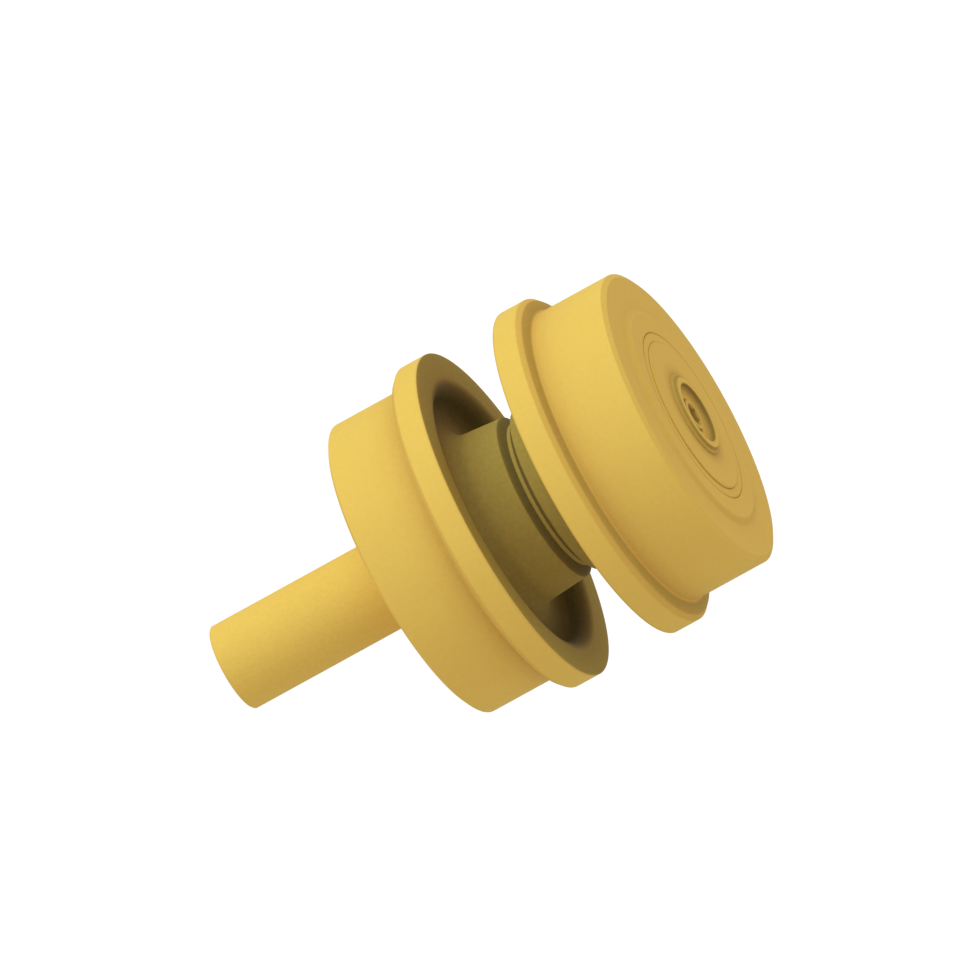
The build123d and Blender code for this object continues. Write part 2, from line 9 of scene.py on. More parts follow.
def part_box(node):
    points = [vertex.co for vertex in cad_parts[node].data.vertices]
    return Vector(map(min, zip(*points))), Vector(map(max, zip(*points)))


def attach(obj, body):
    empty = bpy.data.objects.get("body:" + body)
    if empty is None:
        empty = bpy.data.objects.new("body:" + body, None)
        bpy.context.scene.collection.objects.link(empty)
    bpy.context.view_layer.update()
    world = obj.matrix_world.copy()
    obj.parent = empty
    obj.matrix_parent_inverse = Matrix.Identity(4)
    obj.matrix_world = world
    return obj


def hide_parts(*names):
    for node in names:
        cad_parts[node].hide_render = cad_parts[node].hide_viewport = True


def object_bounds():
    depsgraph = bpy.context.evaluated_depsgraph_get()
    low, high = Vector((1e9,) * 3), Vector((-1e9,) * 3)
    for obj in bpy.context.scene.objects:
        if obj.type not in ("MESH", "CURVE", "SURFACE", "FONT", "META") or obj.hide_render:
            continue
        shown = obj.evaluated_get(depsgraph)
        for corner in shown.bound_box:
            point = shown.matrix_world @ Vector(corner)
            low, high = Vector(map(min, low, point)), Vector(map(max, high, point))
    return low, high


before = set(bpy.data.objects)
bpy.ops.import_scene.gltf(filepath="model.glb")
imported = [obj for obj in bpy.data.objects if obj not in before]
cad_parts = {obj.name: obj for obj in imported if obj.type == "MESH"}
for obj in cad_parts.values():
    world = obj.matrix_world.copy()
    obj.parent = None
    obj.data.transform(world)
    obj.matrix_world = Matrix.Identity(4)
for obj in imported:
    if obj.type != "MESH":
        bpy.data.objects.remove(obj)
cad_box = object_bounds()

# The roller turns about Y, +Z is up and the shaft's free end lies along -Y.  Meshes are in metres.
# Sections are drawn in millimetres as (axial, radius), where axial is the distance from the shell's
# middle plane, positive towards the cover.
MM = 0.001
AROUND = 240                     # points round a turned surface
ARC_STEP = math.radians(9)       # turn between two points of a rounded corner
NEAR, NEXT = 0.35, 1.6           # distances from a corner of the points that keep a flat side flat
SIDE_STEP = 4.0                  # longest step along a flat side
LONG_SIDE, SHORT_SIDE = 2.5 * NEXT, 4 * NEAR   # lengths above which a side gets all or three points
WORN_ROUND = 1.0                 # an edge with this round or more keeps its paint
SHARP_ANGLE = math.radians(28)   # faces that meet at a larger angle are shaded apart
SAME_PLACE = 1e-7                # points closer than this, in metres, become one

ROLLER_BODY = "roller_group"

weld_low, weld_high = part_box("centre_weld")
shell_low, shell_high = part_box("shell_cover_side")
cup_low, cup_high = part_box("cover_side_cup")
cover_low, cover_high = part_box("end_cover")
ring_low, ring_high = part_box("retaining_ring")
plug_low, plug_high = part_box("fill_plug")
washer_low, washer_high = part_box("plug_washer")
collar_low, collar_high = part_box("seal_collar")
shaft_low, shaft_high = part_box("shaft")
MIDDLE = (weld_low.y + weld_high.y) / 2


def axial_of(y):
    """Axial place, in millimetres from the shell's middle, of a Y coordinate."""
    return (y - MIDDLE) / MM


# ------------------------------------------------------------------ sizes of the shell's outside
BROKEN_EDGE = 0.35            # small round that a machined edge keeps under its paint
flange_radius = min(-shell_low.x, shell_high.x, shell_high.z) / MM
rim_plane = axial_of(shell_high.y)
weld_half = (weld_high.y - weld_low.y) / 2 / MM
groove_radius = weld_high.z / MM
tread_radius = 111.125
rim_rise = 2.3
half_width = rim_plane - rim_rise
gap_half = 30.5
flange_width = 21.5
flange_outer = gap_half + flange_width
flange_chamfer = 3.2
flange_foot_spread = 2.6
tread_root_fillet = 1.2
end_chamfer_axial, end_chamfer_radial = 2.4, 4.1
tread_edge_round = 1.0
rim_top_radius, rim_foot_radius, rim_edge_round = 78.5, 83.4, 2.0
waist_radius, waist_draft, waist_flare = 61.2, math.radians(5), 15.0
groove_chamfer = 3.9
pocket_depth, pocket_mouth, pocket_draft = 17.0, 96.825, math.radians(18)
pocket_floor_round, pocket_mouth_round = 10.0, 12.0

# ------------------------------------------------------------------ sizes of the shell's inside
cup_bore_run_out = 2.0
cup_shoulder_height, cup_shoulder_width = 5.86, 8.0
cavity_relief = 4.5
bore_relief = 0.8
ring_bore_gap = 0.05
collar_gap = 1.5
seal_mouth_depth, seal_bottom_depth = 12.4, 24.3
seal_mouth_radius, seal_bottom_radius = 59.23, 56.70

cup_radius = cup_high.z / MM
cup_shoulder = axial_of(cup_low.y)
cup_bore_end = axial_of(cup_high.y) + cup_bore_run_out
shoulder_radius = cup_radius - cup_shoulder_height
cavity_radius = shoulder_radius - cavity_relief
cover_seat = axial_of(cover_low.y)
cover_bore = ring_high.z / MM + ring_bore_gap
counterbore_radius = collar_high.z / MM + collar_gap
seal_mouth, seal_bottom = half_width - seal_mouth_depth, half_width - seal_bottom_depth

# ------------------------------------------------------------------ sizes of the cover and its ring
rim_ledge = 7.4
groove_half, groove_depth = 3.05, 4.6
under_recess, under_wall = 3.0, 6.2
disc_round = 0.7
boss_height, boss_step_height = 3.4, 1.6
boss_radius, boss_step_outer, boss_step_inner, boss_top_radius = 31.2, 30.45, 28.05, 27.2
boss_round, boss_foot_round = 0.5, 0.3
bowl_wall, bowl_depth, bowl_round = 5.0, 4.8, 4.0
plug_play = 0.1
plug_boss_wall = 13.5
thread_radius = 10.0
ring_gap, ring_play, ring_edge = 0.06, 0.22, 0.2   # clear of the disc, clear of the bore, edge

cover_rim_face = axial_of(ring_low.y)
cover_rim_radius = cover_high.z / MM
ring_face = axial_of(ring_high.y)
disc_radius = cover_bore - rim_ledge
boss_face = axial_of(cover_high.y)
disc_face = boss_face - boss_height
boss_step_face = disc_face + boss_step_height
bowl_radius, bowl_floor = boss_top_radius - bowl_wall, boss_face - bowl_depth
plug_seat_radius, plug_seat = plug_high.z / MM + plug_play, axial_of(washer_low.y)

# ------------------------------------------------------------------ sizes of the plug
thread_chamfer, head_chamfer = 0.8, 0.5
socket_flats, socket_sink, socket_depth = 14.0, 1.2, 6.0
socket_mouth = socket_flats / 2 + socket_sink


# ------------------------------------------------------------------ sections
def spread_side(first, last):
    """Extra points of a flat side: two close to each end, the rest evenly spaced between them."""
    length = np.linalg.norm(last - first)
    if length > LONG_SIDE:
        steps = max(2, math.ceil((length - 2 * NEXT) / SIDE_STEP) + 1)
        places = np.concatenate([[NEAR], np.linspace(NEXT, length - NEXT, steps), [length - NEAR]])
    elif length > SHORT_SIDE:
        places = np.array([NEAR, length / 2, length - NEAR])
    else:
        return np.empty((0, 2)), np.empty(0)
    points = first + (last - first) * (places / length)[:, None]
    nearest = np.minimum(places, length - places)
    return points, np.clip(1 - nearest / NEXT, 0, 1)


def winding_of(points):
    """Sign of the area inside a section: it says on which side of each edge the metal lies."""
    ahead = np.roll(points, -1, axis=0)
    return np.sign(np.sum(points[:, 0] * ahead[:, 1] - ahead[:, 0] * points[:, 1]))


def section(corners, closed=True):
    """Points of a section from its corners in order, and how near each lies to a sharp outer edge.

    A corner is (axial, radius) or (axial, radius, round).  A round r becomes an arc: its centre
    lies r / cos(turn / 2) from the corner along the bisector, and it touches each side
    r * tan(turn / 2) from the corner.  The nearness is 1 on a sharp outer corner and falls to 0
    along the flat sides next to it.
    """
    rounds = [corner[2] if len(corner) > 2 else 0.0 for corner in corners]
    corners = np.array([corner[:2] for corner in corners], float)
    count = len(corners)
    winding = winding_of(corners)
    runs, sharp = [], []
    for i, (corner, radius) in enumerate(zip(corners, rounds)):
        back = corners[i - 1] - corner
        on = corners[(i + 1) % count] - corner
        outer = winding * (back[1] * on[0] - back[0] * on[1]) > 0
        sharp.append(float(outer and radius < WORN_ROUND))
        if radius <= 0 or (not closed and i in (0, count - 1)):
            runs.append(corner[None, :])
            continue
        back /= np.linalg.norm(back)
        on /= np.linalg.norm(on)
        turn = math.pi - math.acos(np.clip(back @ on, -1, 1))
        bisector = (back + on) / np.linalg.norm(back + on)
        centre = corner + bisector * radius / math.cos(turn / 2)
        start = corner + back * radius * math.tan(turn / 2) - centre
        way = math.copysign(1.0, start[1] * back[0] - start[0] * back[1])
        angles = np.linspace(0, turn, max(3, math.ceil(turn / ARC_STEP) + 1)) * way
        cos, sin = np.cos(angles), np.sin(angles)
        arc = np.stack([start[0] * cos - start[1] * sin, start[0] * sin + start[1] * cos], axis=1)
        runs.append(centre + arc)
    points, nearness = [], []
    for i, run in enumerate(runs):
        points.append(run)
        nearness.append(np.full(len(run), sharp[i]))
        if not closed and i == count - 1:
            break
        following = (i + 1) % count
        extra, near = spread_side(run[-1], runs[following][0])
        points.append(extra)
        half = np.arange(len(near)) < len(near) / 2
        nearness.append(near * np.where(half, sharp[i], sharp[following]))
    return np.concatenate(points), np.concatenate(nearness)


def shell_outside():
    """Outside corners of a shell half, from the weld to the rim round its end bore."""
    waist_start = weld_half + groove_chamfer
    floor = gap_half + pocket_depth
    waist_end = waist_radius + (floor - waist_start) * math.tan(waist_draft)
    wall_foot = pocket_mouth - pocket_depth * math.tan(pocket_draft)
    return [
        (weld_half, groove_radius),
        (waist_start, waist_radius, BROKEN_EDGE),
        (floor, waist_end, waist_flare),
        (floor, wall_foot, pocket_floor_round),
        (gap_half, pocket_mouth, pocket_mouth_round),
        (gap_half, flange_radius, BROKEN_EDGE),
        (flange_outer - flange_chamfer, flange_radius, BROKEN_EDGE),
        (flange_outer, flange_radius - flange_chamfer, BROKEN_EDGE),
        (flange_outer + flange_foot_spread, tread_radius, tread_root_fillet),
        (half_width - end_chamfer_axial, tread_radius, tread_edge_round),
        (half_width, tread_radius - end_chamfer_radial, tread_edge_round),
        (half_width, rim_foot_radius, rim_edge_round),
        (rim_plane, rim_top_radius, rim_edge_round),
    ]


def shell_section(end_bore):
    """Section of one shell half: the common outside, its own end bore and the bearing's bore."""
    bearing_bore = [
        (cup_bore_end, cup_radius),
        (cup_shoulder, cup_radius),
        (cup_shoulder, shoulder_radius),
        (cup_shoulder - cup_shoulder_width, shoulder_radius),
        (cup_shoulder - 2 * cup_shoulder_width, cavity_radius),
        (weld_half, cavity_radius),
    ]
    return section(shell_outside() + end_bore + bearing_bore)


def cover_end_section():
    """The half that holds the cover."""
    relief = cup_radius + bore_relief
    return shell_section([
        (rim_plane, cover_bore, BROKEN_EDGE),
        (cover_seat, cover_bore),
        (cover_seat, relief),
        (cup_bore_end + bore_relief, relief),
    ])


def seal_end_section():
    """The half that holds the turning seal ring, open round the collar's lip."""
    return shell_section([
        (rim_plane, counterbore_radius, BROKEN_EDGE),
        (seal_mouth, counterbore_radius),
        (seal_mouth, seal_mouth_radius),
        (seal_bottom, seal_bottom_radius),
        (cup_bore_end, seal_bottom_radius),
    ])


def cover_section():
    """The cover: a rim with its O-ring's groove, a raised disc, a stepped boss with the bowl round
    the plug, and a recess underneath."""
    groove_middle = (cover_seat + cover_rim_face) / 2
    groove_bottom = cover_bore - groove_depth
    under = cover_seat + under_recess
    return section([
        (cover_seat, cover_rim_radius),
        (groove_middle - groove_half, cover_rim_radius),
        (groove_middle - groove_half, groove_bottom),
        (groove_middle + groove_half, groove_bottom),
        (groove_middle + groove_half, cover_rim_radius),
        (cover_rim_face, cover_rim_radius),
        (cover_rim_face, disc_radius),
        (disc_face, disc_radius, disc_round),
        (disc_face, boss_radius, BROKEN_EDGE),
        (boss_step_face, boss_step_outer, boss_round),
        (boss_step_face, boss_step_inner, boss_foot_round),
        (boss_face, boss_top_radius, boss_round),
        (boss_face, bowl_radius, boss_round),
        (bowl_floor, bowl_radius, bowl_round),
        (bowl_floor, plug_seat_radius, boss_foot_round),
        (plug_seat, plug_seat_radius),
        (plug_seat, thread_radius),
        (cover_seat, thread_radius),
        (cover_seat, thread_radius + plug_boss_wall),
        (under, thread_radius + plug_boss_wall),
        (under, disc_radius - under_wall),
        (cover_seat, disc_radius - under_wall),
    ])


def ring_section():
    """The ring pressed into the bore above the cover's rim."""
    inner, outer = disc_radius + ring_gap, cover_bore - ring_play
    return section([
        (cover_rim_face, inner),
        (cover_rim_face, outer),
        (ring_face - ring_edge, outer),
        (ring_face, outer - ring_edge),
        (ring_face, inner, ring_edge),
    ])


def plug_section():
    """The plug from the middle of its thread's end to the edge of its socket's countersink."""
    head_seat, top = axial_of(washer_high.y), axial_of(plug_high.y)
    thread_end, head = axial_of(plug_low.y), plug_high.z / MM
    return section([
        (thread_end, 0),
        (thread_end, thread_radius - thread_chamfer),
        (thread_end + thread_chamfer, thread_radius),
        (head_seat, thread_radius),
        (head_seat, head),
        (top - head_chamfer, head),
        (top, head - head_chamfer),
        (top, socket_mouth),
    ], closed=False)


WELD_ACROSS, WELD_AROUND = 13, 1200     # points of the bead's top across and round the roller
WELD_RIPPLES = 150
WELD_CROWN, WELD_RIPPLE_DEPTH = 0.30, 0.10
WELD_LAG = 0.02                         # turn by which a ripple lags at the bead's edges


def weld_section():
    """The bead's top, finely divided, and its foot in the cavity."""
    across = np.linspace(-weld_half, weld_half, WELD_ACROSS)
    top = np.stack([across, groove_radius + 0 * across], axis=1)
    foot = np.array([(weld_half, cavity_radius), (-weld_half, cavity_radius)])
    points = np.concatenate([top, foot])
    return points, np.zeros(len(points))


# ------------------------------------------------------------------ how open each place is
GRID = 0.5                  # cell of the section chart, in millimetres
CHART_LOW, CHART_HIGH, CHART_RADIUS = -270.0, 130.0, 135.0       # reach of the chart
RAYS, RAY_START, RAY_END, RAY_STEPS = 400, 0.9, 170.0, 64        # from each place
SMOOTHING = 0.4             # reach over which neighbouring places share their value
TINY = 1e-9                 # least divisor


def chart_of(sections):
    """Chart of solid and empty cells over (axial, radius): a cell is solid where the edges of a
    section below it are odd in number."""
    axial = np.arange(CHART_LOW, CHART_HIGH, GRID) + GRID / 2
    solid = np.zeros((len(axial), int(CHART_RADIUS / GRID) + 2), bool)
    for points in sections:
        first, last = points, np.roll(points, -1, axis=0)
        low = np.minimum(first[:, 0], last[:, 0])[:, None]
        high = np.maximum(first[:, 0], last[:, 0])[:, None]
        edge, column = np.nonzero((low <= axial) & (axial < high))
        share = (axial[column] - first[edge, 0]) / (last[edge, 0] - first[edge, 0])
        radius = first[edge, 1] + share * (last[edge, 1] - first[edge, 1])
        crossings = np.zeros(solid.shape, int)
        np.add.at(crossings, (column, np.clip((radius / GRID).round().astype(int), 0, None)), 1)
        solid |= np.cumsum(crossings, axis=1) % 2 == 1
    return solid


def enclosure(points, solid):
    """Share of the sky that the roller itself hides from each point of a section, from 0 to 1.

    Rays leave each point in directions spread evenly over a sphere by the golden angle.  A ray
    along (axial, radial, sideways) is at radius sqrt((r + t * radial)^2 + (t * sideways)^2) after a
    length t, and it is hidden where the chart is solid there.  Each counts by its cosine to the
    surface's normal.
    """
    index = np.arange(RAYS) + 0.5
    polar = 1 - 2 * index / RAYS
    swing = math.pi * (1 + math.sqrt(5)) * index
    flat = np.sqrt(1 - polar**2)
    rays = np.stack([polar, flat * np.cos(swing), flat * np.sin(swing)])
    along = np.roll(points, -1, axis=0) - np.roll(points, 1, axis=0)
    normal = np.stack([along[:, 1], -along[:, 0]], axis=1) * winding_of(points)
    normal /= np.maximum(np.linalg.norm(normal, axis=1), TINY)[:, None]
    start = points + normal * RAY_START
    length = np.geomspace(RAY_START, RAY_END, RAY_STEPS)[None, None, :]
    axial = start[:, 0, None, None] + rays[0][None, :, None] * length
    outward = start[:, 1, None, None] + rays[1][None, :, None] * length
    radius = np.hypot(outward, rays[2][None, :, None] * length)
    column = np.clip(((axial - CHART_LOW) / GRID).astype(int), 0, solid.shape[0] - 1)
    row = np.clip((radius / GRID).astype(int), 0, solid.shape[1] - 1)
    hidden = solid[column, row].any(axis=2)
    weight = np.maximum(normal @ rays[:2], 0)
    share = (weight * hidden).sum(axis=1) / np.maximum(weight.sum(axis=1), TINY)
    apart = np.linalg.norm(points[:, None] - points[None], axis=2)
    near = np.exp(-(apart / SMOOTHING) ** 2)
    return near @ share / near.sum(axis=1)


def mirrored(points):
    """The section on the shaft's side of the middle plane."""
    return points * (-1, 1)


def plain_section(low, high):
    """Rectangle that stands for a turned node in the chart."""
    start, end, radius = axial_of(low.y), axial_of(high.y), high.z / MM
    return np.array([(start, 0), (end, 0), (end, radius), (start, radius)])


# Pairs of a distance from the axis and what is added to the enclosure there, and so to the painted
# shade: more painted shade round the boss and in the bowl, less beside the ring and on the
# lip of the cover's bore.
COVER_SHADE_OFFSETS = [
    (12.0, -0.30), (12.8, -0.10), (18.5, -0.10), (20.5, 0.02), (21.7, 0.34), (22.2, 0.25),
    (22.4, 0.0), (27.0, 0.0), (27.2, 0.25), (27.9, 0.40), (28.2, 0.22), (28.8, 0.12),
    (30.3, 0.05), (30.5, 0.05), (31.1, 0.22), (31.4, 0.06), (33.0, 0.04), (38.0, 0.0),
    (55.9, 0.0), (56.3, -0.35),
]
RING_SHADE_OFFSETS = [(58.0, -0.35), (58.5, 0.0)]
LIP_SHADE_OFFSETS = [(cover_bore, 0.0), (cover_bore + 0.04, -0.45), (cover_bore + 0.7, -0.45),
            (cover_bore + 1.2, 0.0)]

# The treads, which get less painted shade: the share of the enclosure that they keep, how far they
# reach below their radius, and how far from the flange they begin.
TREAD_SHADE_SHARE, TREAD_SHADE_DEPTH, TREAD_SHADE_START = 0.35, 5, 2.0


def kept_share(points):
    """Share of its enclosure, and so of its painted shade, that each place of a section keeps."""
    high = points[:, 1] > tread_radius - TREAD_SHADE_DEPTH
    outside = np.abs(points[:, 0]) > flange_outer + TREAD_SHADE_START
    return np.where(high & outside, TREAD_SHADE_SHARE, 1.0)


def marks_of(points, nearness, solid, shade_offsets=()):
    """The attributes of a painted surface: the enclosure, which sets its painted shade, and the
    nearness to sharp edges.
    """
    hidden = enclosure(points, solid) * kept_share(points)
    if shade_offsets:
        hidden = hidden + np.interp(points[:, 1], *zip(*shade_offsets))
    return {"enclosure": np.clip(hidden, 0, 1), "edge": nearness}


# ------------------------------------------------------------------ meshes
def grid_mesh(name, grid, wrap_rows, marks):
    """Mesh over a grid of points (rows, columns, 3), closed round the columns.

    wrap_rows closes it round the rows too.  marks holds a value for each row under each name, and
    the piece keeps them as attributes.
    """
    rows, columns = grid.shape[:2]
    row = np.arange(rows if wrap_rows else rows - 1)[:, None]
    column = np.arange(columns)[None, :]
    next_row, next_column = (row + 1) % rows, (column + 1) % columns
    faces = np.stack([
        row * columns + column,
        row * columns + next_column,
        next_row * columns + next_column,
        next_row * columns + column,
    ], axis=-1).reshape(-1, 4)
    mesh = bpy.data.meshes.new(name)
    mesh.from_pydata(grid.reshape(-1, 3).tolist(), [], faces.tolist())
    for mark, values in marks.items():
        layer = mesh.attributes.new(mark, "FLOAT", "POINT")
        layer.data.foreach_set("value", np.repeat(values, columns).astype(np.float32))
    bm = bmesh.new()
    bm.from_mesh(mesh)
    bmesh.ops.remove_doubles(bm, verts=bm.verts, dist=SAME_PLACE)
    bmesh.ops.recalc_face_normals(bm, faces=bm.faces)
    bm.to_mesh(mesh)
    bm.free()
    mesh.shade_smooth()
    mesh.set_sharp_from_angle(angle=SHARP_ANGLE)
    piece = bpy.data.objects.new(name, mesh)
    bpy.context.scene.collection.objects.link(piece)
    return piece


def turned_grid(points, angle):
    """Turned surface: the section point (a, r) at angle t is (r sin t, middle + a, r cos t)."""
    axial = points[..., 0] * MM + MIDDLE
    radius = points[..., 1] * MM
    return np.stack([radius * np.sin(angle), axial + 0 * angle, radius * np.cos(angle)], axis=-1)


def turns(count=AROUND):
    """Evenly spaced angles round the axis."""
    return np.arange(count) * (2 * math.pi / count)


def lathe(name, points, nearness, solid, shade_offsets=()):
    """Closed turned piece from its section."""
    grid = turned_grid(points[:, None, :], turns())
    return grid_mesh(name, grid, True, marks_of(points, nearness, solid, shade_offsets))


def finish_piece(piece, node, material):
    """Has a piece ride with the roller, in the place of its node and with its own paint."""
    piece.data.materials.append(material)
    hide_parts(node)
    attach(piece, ROLLER_BODY)


def make_weld(points, nearness, solid, material):
    """The bead at the bottom of the waist's groove.

    Its top is raised by crown * (1 - across^2), less shallow ripples sin^2 of the angle that lag
    behind towards the bead's edges.
    """
    angle = turns(WELD_AROUND)[None, :]
    across = (points[:, 0] / weld_half)[:, None]
    top = (points[:, 1] > cavity_radius)[:, None] * (1 - across**2)
    wave = np.sin(WELD_RIPPLES * (angle + WELD_LAG * across**2)) ** 2
    radius = points[:, 1][:, None] + top * (WELD_CROWN + WELD_RIPPLE_DEPTH * (wave - 1))
    bead = np.stack([points[:, 0][:, None] + 0 * radius, radius], axis=-1)
    marks = marks_of(points, nearness, solid)
    piece = grid_mesh("waist_weld", turned_grid(bead, angle), True, marks)
    finish_piece(piece, "centre_weld", material)


# Rows of the socket: shares of its wall's height from the top, shares of its floor's radius, and
# the enclosure of each row from the wall's upper edge to the middle of the floor.
SOCKET_WALL, SOCKET_FLOOR = (0.25, 0.6, 1.0), (0.96, 0.5, 0.0)
# these enclosures set the painted shade inside the socket
SOCKET_ENCLOSURE = (0.28, 0.45, 0.58, 0.66, 0.66, 0.62, 0.58)


def make_plug(points, nearness, solid, material):
    """The plug with its hexagon socket.

    The socket's radius at angle t is half the width across flats over the cosine of t's distance
    from the nearest flat.  Its upper edge lies on the 45 degree countersink, as deep below the top
    as its radius is short of the mouth's.  The floor closes to a point on the axis.
    """
    angle = turns()
    top = points[-1, 0]
    hexagon = socket_flats / 2 / np.cos((angle + math.pi / 6) % (math.pi / 3) - math.pi / 6)
    outside = np.broadcast_to(points[:, None, :], (len(points), AROUND, 2))
    edge = np.stack([top - (socket_mouth - hexagon), hexagon], axis=-1)
    bottom = top - socket_depth
    depth = np.array(SOCKET_WALL)[:, None]
    wall = np.stack([edge[:, 0] + depth * (bottom - edge[:, 0]), hexagon + 0 * depth], axis=-1)
    reach = np.array(SOCKET_FLOOR)[:, None]
    floor = np.stack([bottom + 0 * reach * hexagon, reach * hexagon], axis=-1)
    rows = np.concatenate([outside, edge[None], wall, floor])
    marks = marks_of(points, nearness, solid)
    marks = {"enclosure": np.concatenate([marks["enclosure"], SOCKET_ENCLOSURE]),
             "edge": np.concatenate([marks["edge"], np.zeros(len(SOCKET_ENCLOSURE))])}
    piece = grid_mesh("oil_plug", turned_grid(rows, angle), False, marks)
    finish_piece(piece, "fill_plug", material)


# ------------------------------------------------------------------ shader node groups
TONE_AND_HEIGHT = {"Tone": "NodeSocketFloat", "Height": "NodeSocketFloat"}
NOISE_MIDDLE = 0.5


def add(tree, kind, inputs=None, **settings):
    """Adds a node; an input is a value or the socket that feeds it."""
    node = tree.nodes.new(kind)
    for name, value in settings.items():
        setattr(node, name, value)
    for name, value in (inputs or {}).items():
        if isinstance(value, bpy.types.NodeSocket):
            tree.links.new(value, node.inputs[name])
        else:
            node.inputs[name].default_value = value
    return node


def maths(tree, operation, *values, clamp=False):
    """Result of a Math node."""
    inputs = dict(enumerate(values))
    return add(tree, "ShaderNodeMath", inputs, operation=operation, use_clamp=clamp).outputs[0]


def new_group(name, inputs, outputs):
    """Empty node group, its inputs' outputs and its outputs' inputs.

    inputs maps a name to its default value, and outputs a name to its socket type.
    """
    group = bpy.data.node_groups.new(name, "ShaderNodeTree")
    for label, default in inputs.items():
        socket = group.interface.new_socket(label, in_out="INPUT", socket_type="NodeSocketFloat")
        socket.default_value = default
    for label, kind in outputs.items():
        group.interface.new_socket(label, in_out="OUTPUT", socket_type=kind)
    given = group.nodes.new("NodeGroupInput").outputs
    return group, given, group.nodes.new("NodeGroupOutput").inputs


def scaled_place(group, scale):
    """The place on the piece, in the roller's own frame, times a scale."""
    place = add(group, "ShaderNodeTexCoord").outputs["Object"]
    inputs = {0: place, "Scale": scale}
    return add(group, "ShaderNodeVectorMath", inputs, operation="SCALE").outputs[0]


def hand_out(group, noise, amount, result):
    """Gives out a noise as a height, and as a tone of 1 + 2 * amount * (noise - its middle)."""
    swing = maths(group, "MULTIPLY", maths(group, "SUBTRACT", noise, NOISE_MIDDLE), amount)
    group.links.new(maths(group, "MULTIPLY_ADD", swing, 2.0, 1.0), result["Tone"])
    group.links.new(noise, result["Height"])


def grain_group():
    """Even grain: a tone near 1 that wanders by the amount, and a height from 0 to 1."""
    defaults = {"Scale": 400.0, "Amount": 0.02}
    group, given, result = new_group("grain", defaults, TONE_AND_HEIGHT)
    place = scaled_place(group, given["Scale"])
    noise = add(group, "ShaderNodeTexNoise",
                {"Vector": place, "Scale": 1.0, "Detail": 3.0, "Roughness": 0.55})
    hand_out(group, noise.outputs["Fac"], given["Amount"], result)
    return group


def tool_marks_group():
    """Fine rings round the roller's axis, as a lathe or a grinding wheel leaves them.

    The rings are noise over (distance from the axis, place along it), so they are even all round.
    """
    defaults = {"Scale": 2500.0, "Amount": 0.1}
    group, given, result = new_group("tool_marks", defaults, TONE_AND_HEIGHT)
    parts = add(group, "ShaderNodeSeparateXYZ", {0: scaled_place(group, given["Scale"])}).outputs
    squares = [maths(group, "MULTIPLY", parts[axis], parts[axis]) for axis in ("X", "Z")]
    reach = maths(group, "SQRT", maths(group, "ADD", *squares))
    flat = add(group, "ShaderNodeCombineXYZ", {"X": reach, "Y": parts["Y"]}).outputs[0]
    noise = add(group, "ShaderNodeTexNoise", {"Vector": flat, "Scale": 1.0, "Detail": 2.0})
    hand_out(group, noise.outputs["Fac"], given["Amount"], result)
    return group


# Tone of the painted shade in recesses, by enclosure.
PAINTED_SHADE_RAMP = [
    (0.0, (1, 1, 1)),
    (0.04, (0.92, 0.875, 0.885)),
    (0.12, (0.83, 0.785, 0.81)),
    (0.28, (0.63, 0.66, 0.71)),
    (0.46, (0.57, 0.60, 0.61)),
    (0.56, (0.585, 0.585, 0.64)),
    (0.75, (0.31, 0.34, 0.48)),
    (0.85, (0.235, 0.295, 0.47)),
    (0.95, (0.165, 0.235, 0.44)),
]


def painted_shade_group():
    """Painted shade in recesses, from how enclosed a place is: none in the open, olive in a
    hollow and nearly black in a deep corner."""
    outputs = {"Tone": "NodeSocketColor"}
    group, given, result = new_group("painted_recess_shade", {"Enclosure": 0.0}, outputs)
    ramp = add(group, "ShaderNodeValToRGB", {"Fac": given["Enclosure"]})
    stops = ramp.color_ramp.elements
    stops[0].position, stops[1].position = PAINTED_SHADE_RAMP[0][0], PAINTED_SHADE_RAMP[-1][0]
    for place, _ in PAINTED_SHADE_RAMP[1:-1]:
        stops.new(place)
    for stop, (_, colour) in zip(stops, PAINTED_SHADE_RAMP):
        stop.color = (*colour, 1)
    group.links.new(ramp.outputs["Color"], result["Tone"])
    return group


def edge_wear_group():
    """Mask of the places where paint is thin on sharp edges, broken up by noise.

    The noise, raised by reach * edge, has to pass the threshold, and the contrast sets how fast
    the mask then grows.
    """
    defaults = {"Edge": 0.0, "Scale": 250.0, "Reach": 0.6, "Threshold": 0.8, "Contrast": 4.0}
    group, given, result = new_group("edge_wear", defaults, {"Mask": "NodeSocketFloat"})
    patches = add(group, "ShaderNodeTexNoise",
                  {"Vector": scaled_place(group, given["Scale"]), "Scale": 1.0, "Detail": 4.0})
    raised = maths(group, "MULTIPLY", given["Edge"], given["Reach"])
    level = maths(group, "ADD", raised, patches.outputs["Fac"])
    over = maths(group, "SUBTRACT", level, given["Threshold"])
    spread = maths(group, "MULTIPLY", over, given["Contrast"], clamp=True)
    group.links.new(maths(group, "MULTIPLY", spread, given["Edge"]), result["Mask"])
    return group


GRAIN, TOOL_MARKS = grain_group(), tool_marks_group()
PAINTED_SHADE, EDGE_WEAR = painted_shade_group(), edge_wear_group()


# ------------------------------------------------------------------ materials
def new_material(name, **constants):
    """Node material with a shader whose plain sockets hold the constants."""
    material = bpy.data.materials.new(name)
    material.use_nodes = True
    tree = material.node_tree
    tree.nodes.clear()
    out = tree.nodes.new("ShaderNodeOutputMaterial")
    inputs = {label.replace("_", " "): value for label, value in constants.items()}
    shader = add(tree, "ShaderNodeBsdfPrincipled", inputs)
    tree.links.new(shader.outputs["BSDF"], out.inputs["Surface"])
    return material, tree, shader


def effect(tree, group, inputs):
    """Outputs of a group placed in a material with its own values."""
    return add(tree, "ShaderNodeGroup", inputs, node_tree=group).outputs


